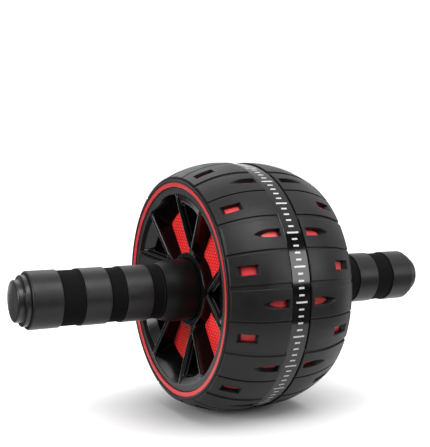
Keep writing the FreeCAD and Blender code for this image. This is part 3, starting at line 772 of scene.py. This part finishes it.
@dataclass
class ArmRidge:
    """The rounded ridge along the front of one arm of a spoke."""

    row: ClassVar[str] = "arm"
    side: Side
    spoke: int
    flank: Flank
    hub: float = 29.0 * MM
    hub_deg: float = 1.45
    rim: float = 65.9 * MM
    rim_deg: float = 15.95
    half_width: float = 1.75 * MM
    height: float = 1.0 * MM
    sink: float = 0.5 * MM
    bow: float = 0.25 * MM
    drop: float = 0.0
    taper_power: int = 8
    rows: int = 81
    columns: int = 32

    def middle_line(self) -> tuple[np.ndarray, np.ndarray]:
        """The straight line under the ridge, in the plane across the axle, for a spoke that lies along X.

        Returns:
            The line's ends at the hub and at the rim.
        """
        hub_turn, rim_turn = math.radians(self.hub_deg), math.radians(self.rim_deg)
        return (self.hub * np.array([math.cos(hub_turn), math.sin(hub_turn)]),
                self.rim * np.array([math.cos(rim_turn), math.sin(rim_turn)]))

    def build(self) -> bpy.types.Object:
        """Makes the ridge.

        Its middle runs from the hub's point to the rim's point and bows sideways by bow * sin(pi s), towards
        the window where the bow is above zero. Across it lies an oval, with a height above and a sink below,
        that stands on the dish less the drop: the place along the axle grows evenly with the radius. A taper
        (1 - |2 s - 1|^power)^(1/2) shrinks the oval to a point at both ends.

        Returns:
            The ridge.
        """
        start, end = self.middle_line()
        run = (end - start) / np.linalg.norm(end - start)
        across = np.array([-run[1], run[0]])
        s = np.linspace(0.0, 1.0, self.rows)[:, None]
        turn = np.linspace(0.0, FULL_TURN, self.columns, endpoint=False)[None, :]
        taper = np.sqrt(np.clip(1.0 - np.abs(2.0 * s - 1.0) ** self.taper_power, 0.0, 1.0))
        aside = self.bow * np.sin(math.pi * s) + self.half_width * taper * np.cos(turn)
        lift = taper * np.where(np.sin(turn) > 0.0, self.height, self.sink) * np.sin(turn)
        flat = start + (end - start) * s[..., None] + aside[..., None] * across
        radius = np.linalg.norm(flat, axis=-1)
        place = DISH_START + DISH_SLOPE * radius - self.drop + lift
        angle = math.radians(SPOKE_PHASE_DEG + 360.0 / SPOKE_COUNT * self.spoke)
        angle = angle + self.flank.value * np.arctan2(flat[..., 1], flat[..., 0])
        points = np.stack([radius * np.cos(angle), self.side.value * place, radius * np.sin(angle)], -1)
        if self.side.value * self.flank.value > 0:
            points = points[::-1]
        name = f"{self.side.label}_{self.row}_ridge_{self.spoke + 1}{self.flank.label}"
        piece = surface_object(name, points, False, True)
        close_poles(piece)
        piece.data.materials.append(GLOSS_BLACK.material())
        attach(piece, WHEEL)
        return piece


@dataclass
class PocketRidge(ArmRidge):
    """The smaller ridge lower down along one arm of a spoke, in the wall of its pocket."""

    row: ClassVar[str] = "pocket"
    hub: float = 36.2 * MM
    hub_deg: float = 2.15
    rim: float = 61.0 * MM
    rim_deg: float = 12.5
    half_width: float = 1.3 * MM
    height: float = 0.9 * MM
    sink: float = 0.9 * MM
    bow: float = -0.2 * MM
    drop: float = 2.5 * MM


@dataclass
class ScalePanel:
    """The scaled red face of the core that one window of a spoke cover shows."""

    side: Side
    index: int
    web_face: float = 30.0 * MM
    hub: float = 25.9 * MM
    rim: float = 58.1 * MM
    hub_half_deg: float = 28.2
    rim_half_deg: float = 23.4
    base: float = 0.04 * MM
    height: float = 0.30 * MM
    pitch: float = 2.1 * MM
    stretch: float = 1.35
    slant: tuple[float, float] = (0.866, 0.5)
    waves_low: float = -1.5
    waves_high: float = 3.0
    side_fall: float = 12.0
    end_fall: float = 24.0
    rows: int = 110
    columns: int = 140
    crease_deg: float = 80.0

    def scales(self, x: np.ndarray, z: np.ndarray) -> np.ndarray:
        """Rows of rounded scales: the sum of three cosines of directions 60 degrees apart, mapped to 0..1.

        Args:
            x: the points' X.
            z: the points' Z.

        Returns:
            The height at each point, from 0 to 1.
        """
        k = FULL_TURN / self.pitch
        slant_u, slant_v = self.slant[0] * x / self.stretch, self.slant[1] * z
        waves = np.cos(k * z) + np.cos(k * (slant_u + slant_v)) + np.cos(k * (slant_u - slant_v))
        return np.clip((waves - self.waves_low) / (self.waves_high - self.waves_low), 0.0, 1.0)

    def build(self) -> bpy.types.Object:
        """Makes the panel.

        A point lies at a share t on the straight line from the hub's arc to the rim's arc, both taken at the
        same share of their half angles. The scales stand on the web and fall to the base at the border.

        Returns:
            The panel.
        """
        middle = math.radians(SPOKE_PHASE_DEG + 180.0 / SPOKE_COUNT * (2 * self.index + 1))
        across = np.linspace(-1.0, 1.0, self.columns)
        out = np.linspace(0.0, 1.0, self.rows)
        hub_angle = middle + np.radians(self.hub_half_deg) * across
        rim_angle = middle + np.radians(self.rim_half_deg) * across
        x = np.outer(1.0 - out, self.hub * np.cos(hub_angle)) + np.outer(out, self.rim * np.cos(rim_angle))
        z = np.outer(1.0 - out, self.hub * np.sin(hub_angle)) + np.outer(out, self.rim * np.sin(rim_angle))
        scale = self.scales(x, z)
        side_border = self.side_fall * (1.0 - np.abs(across))[None, :]
        end_border = self.end_fall * np.minimum(out, 1.0 - out)[:, None]
        border = np.clip(np.minimum(side_border, end_border), 0.0, 1.0)
        y = self.side.value * (self.web_face + self.base + self.height * scale * border)
        points = np.stack([x, y, z], -1)
        if self.side is Side.RIGHT:
            points, scale = points[::-1], scale[::-1]
        name = f"{self.side.label}_scale_panel_{self.index + 1}"
        piece = surface_object(name, points, False, False, self.crease_deg)
        add_relief(piece, scale)
        piece.data.materials.append(RED_SCALES_PAINTED_LIGHT.material())
        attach(piece, WHEEL)
        return piece


# Studio

@dataclass
class Softbox:
    """A rectangular lamp that points at the object."""

    name: str
    place: tuple[float, float, float]
    size: tuple[float, float]
    power: float
    aim: tuple[float, float, float] = (0.0, 0.0, 0.0)

    def build(self) -> None:
        """Makes the lamp."""
        lamp = bpy.data.lights.new(self.name, "AREA")
        lamp.shape = "RECTANGLE"
        lamp.size, lamp.size_y = self.size
        lamp.energy = self.power
        holder = bpy.data.objects.new(self.name, lamp)
        holder.location = self.place
        holder.rotation_euler = (Vector(self.aim) - Vector(self.place)).to_track_quat("-Z", "Y").to_euler()
        bpy.context.scene.collection.objects.link(holder)


@dataclass
class Studio:
    """Pale floor, soft light and the camera at the photograph's angle."""

    azimuth_deg: float = 60.31
    elevation_deg: float = 7.77
    roll_deg: float = 0.34
    distance: float = 610.07 * MM
    picture: tuple[int, int] = (430, 447)
    focal_px: float = 850.26
    axis_px: tuple[float, float] = (233.87, 285.88)
    sensor: float = 36.0
    clip: tuple[float, float] = (0.02, 50.0)
    floor_half: float = 6.0
    floor_colour: Colour = (0.45, 0.45, 0.45)
    glow_range: tuple[float, float] = (0.015, 0.140)
    glow_stretch: float = 1.35
    sky_colour: Colour = (1.0, 1.0, 1.0)
    sky_light: float = 0.60
    sky_margin: float = 0.12
    wall_reach: float = 2.6
    wall_height: float = 2.4
    wall_foot: float = 0.21
    wall_lift: float = 10.0 * MM
    wall_from_deg: float = -131.0
    wall_to_deg: float = 100.0
    wall_steps: int = 61
    wall_colour: Colour = (0.02, 0.02, 0.02)
    wall_roughness: float = 0.9
    lamps: list[Softbox] = field(default_factory=lambda: [
        Softbox("key", (0.85, 0.15, 1.20), (0.9, 0.7), 15.0),
        Softbox("right_side", (1.30, 0.90, 0.52), (0.8, 0.7), 10.0, (0.0, 0.0, 0.05)),
        Softbox("left_front", (0.35, -1.5, 0.55), (0.9, 0.8), 25.0),
        Softbox("behind", (-0.80, -0.10, 0.95), (1.1, 0.9), 4.0),
    ])

    def build(self) -> None:
        """Builds floor, wall, world, lamps and camera."""
        self.lay_floor()
        self.raise_wall()
        self.light_world()
        for lamp in self.lamps:
            lamp.build()
            log.info("lamp %s", lamp.name)
        self.set_camera()

    def seen_by_eye(self, desk: NodeDesk) -> bpy.types.Node:
        """One where a ray comes from the camera, a gloss or a glass, and otherwise zero.

        Args:
            desk: the node tree to add to.

        Returns:
            The node with that value.
        """
        path = desk.add("ShaderNodeLightPath")
        shown = desk.math("MAXIMUM", (path, "Is Camera Ray"), (path, "Is Glossy Ray"))
        return desk.math("MAXIMUM", shown, (path, "Is Transmission Ray"))

    def lay_floor(self) -> None:
        """A flat floor under the wheel that reads as white, except in an oval round the wheel, stretched
        along the axle, where its glow fades out as a painted contact shadow over the real shadow the lamps
        cast.
        """
        ends = np.array([-self.floor_half, self.floor_half])
        x, y = np.meshgrid(ends, ends)
        floor = surface_object("floor", np.stack([x, y, np.full_like(x, CAD_BOX[0].z)], -1), False, False)
        material = bpy.data.materials.new("floor_white")
        material.use_nodes = True
        desk = NodeDesk(material.node_tree)
        desk.tree.nodes.clear()
        matt = desk.add("ShaderNodeBsdfDiffuse", Color=(*self.floor_colour, 1.0))
        glow = desk.add("ShaderNodeEmission")
        # Painted shadow: the glow is zero close to the wheel and full further out, so the floor there is
        # darker than the lamps alone make it.
        reach = desk.length(desk.scaled_place((1.0, 1.0 / self.glow_stretch, 0.0)))
        fade = desk.ramp(reach, self.glow_range, interpolation="SMOOTHSTEP")
        strength = desk.math("MULTIPLY", self.seen_by_eye(desk), (fade, "Result"))
        desk.link(strength, "Value", glow, "Strength")
        both = desk.add("ShaderNodeAddShader")
        desk.link(matt, "BSDF", both, 0)
        desk.link(glow, "Emission", both, 1)
        desk.link(both, "Shader", desk.add("ShaderNodeOutputMaterial"), "Surface")
        floor.data.materials.append(material)

    def raise_wall(self) -> None:
        """A dark curved wall with a foot on the floor, which only the object sees, so its gloss stays black.

        The wall's outline runs along the floor from the foot to the reach and then up. A point of it at an
        angle a off the camera's side is (r sin b, -r cos b, z), with b = the camera's azimuth + a.
        """
        level = CAD_BOX[0].z + self.wall_lift
        reach = np.array([self.wall_foot, self.wall_reach, self.wall_reach])
        rise = np.array([level, level, self.wall_height])
        off_side = np.linspace(self.wall_from_deg, self.wall_to_deg, self.wall_steps)
        turn = np.radians(self.azimuth_deg + off_side)
        points = np.stack([np.outer(reach, np.sin(turn)), -np.outer(reach, np.cos(turn)),
                           np.outer(rise, np.ones_like(turn))], -1)
        wall = surface_object("dark_wall", points, False, False)
        bench = NodeBench("wall_black")
        bench.shader.inputs["Base Color"].default_value = (*self.wall_colour, 1.0)
        bench.shader.inputs["Roughness"].default_value = self.wall_roughness
        wall.data.materials.append(bench.material)
        wall.visible_camera = False
        wall.visible_shadow = False

    def light_world(self) -> None:
        """A white surround, softer as light on the object and a little above white for the camera alone."""
        world = bpy.data.worlds.new("studio")
        world.use_nodes = True
        desk = NodeDesk(world.node_tree)
        back = desk.tree.nodes["Background"]
        back.inputs["Color"].default_value = (*self.sky_colour, 1.0)
        strength = desk.ramp(self.seen_by_eye(desk), UNIT_RANGE, (self.sky_light, 1.0))
        path = desk.add("ShaderNodeLightPath")
        total = desk.math("MULTIPLY_ADD", (path, "Is Camera Ray"), self.sky_margin, (strength, "Result"))
        desk.link(total, "Value", back, "Strength")
        bpy.context.scene.world = world

    def set_camera(self) -> None:
        """Stands the camera where the photograph was taken from.

        The back direction is (sin az cos el, -cos az cos el, sin el); the lens and the shift put the
        photograph's focal length and optical axis, both in its pixels, on a sensor as long as its long side.
        """
        azimuth, elevation = math.radians(self.azimuth_deg), math.radians(self.elevation_deg)
        back = Vector((math.sin(azimuth) * math.cos(elevation), -math.cos(azimuth) * math.cos(elevation),
                       math.sin(elevation)))
        right = Vector((0.0, 0.0, 1.0)).cross(back).normalized()
        upward = back.cross(right)
        c, s = math.cos(math.radians(self.roll_deg)), math.sin(math.radians(self.roll_deg))
        right, upward = c * right + s * upward, c * upward - s * right
        camera = bpy.data.cameras.new("photo_camera")
        width, height = self.picture
        long_side = max(width, height)
        camera.sensor_width = self.sensor
        camera.lens = self.focal_px * self.sensor / long_side
        camera.shift_x = (width / 2.0 - self.axis_px[0]) / long_side
        camera.shift_y = (self.axis_px[1] - height / 2.0) / long_side
        camera.clip_start, camera.clip_end = self.clip
        holder = bpy.data.objects.new("photo_camera", camera)
        holder.matrix_world = Matrix.Translation(back * self.distance) @ Matrix(
            (right, upward, back)).transposed().to_4x4()
        bpy.context.scene.collection.objects.link(holder)
        bpy.context.scene.camera = holder


def main() -> None:
    """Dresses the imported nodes, adds the fine pieces and sets up the studio."""
    logging.basicConfig(level=logging.INFO, format="%(message)s")
    bpy.context.scene.view_settings.view_transform = "Standard"
    dress_nodes()
    for side in Side:
        for stretch in Stretch:
            log.info("made %s", TexturedBand(side, stretch).build().name)
        log.info("made %s", TyreLip(side).build().name)
        for index in range(SPOKE_COUNT):
            log.info("made %s", ScalePanel(side, index).build().name)
            for flank in Flank:
                log.info("made %s", ArmRidge(side, index, flank).build().name)
                log.info("made %s", PocketRidge(side, index, flank).build().name)
    Studio().build()


if __name__ == "__main__":
    main()
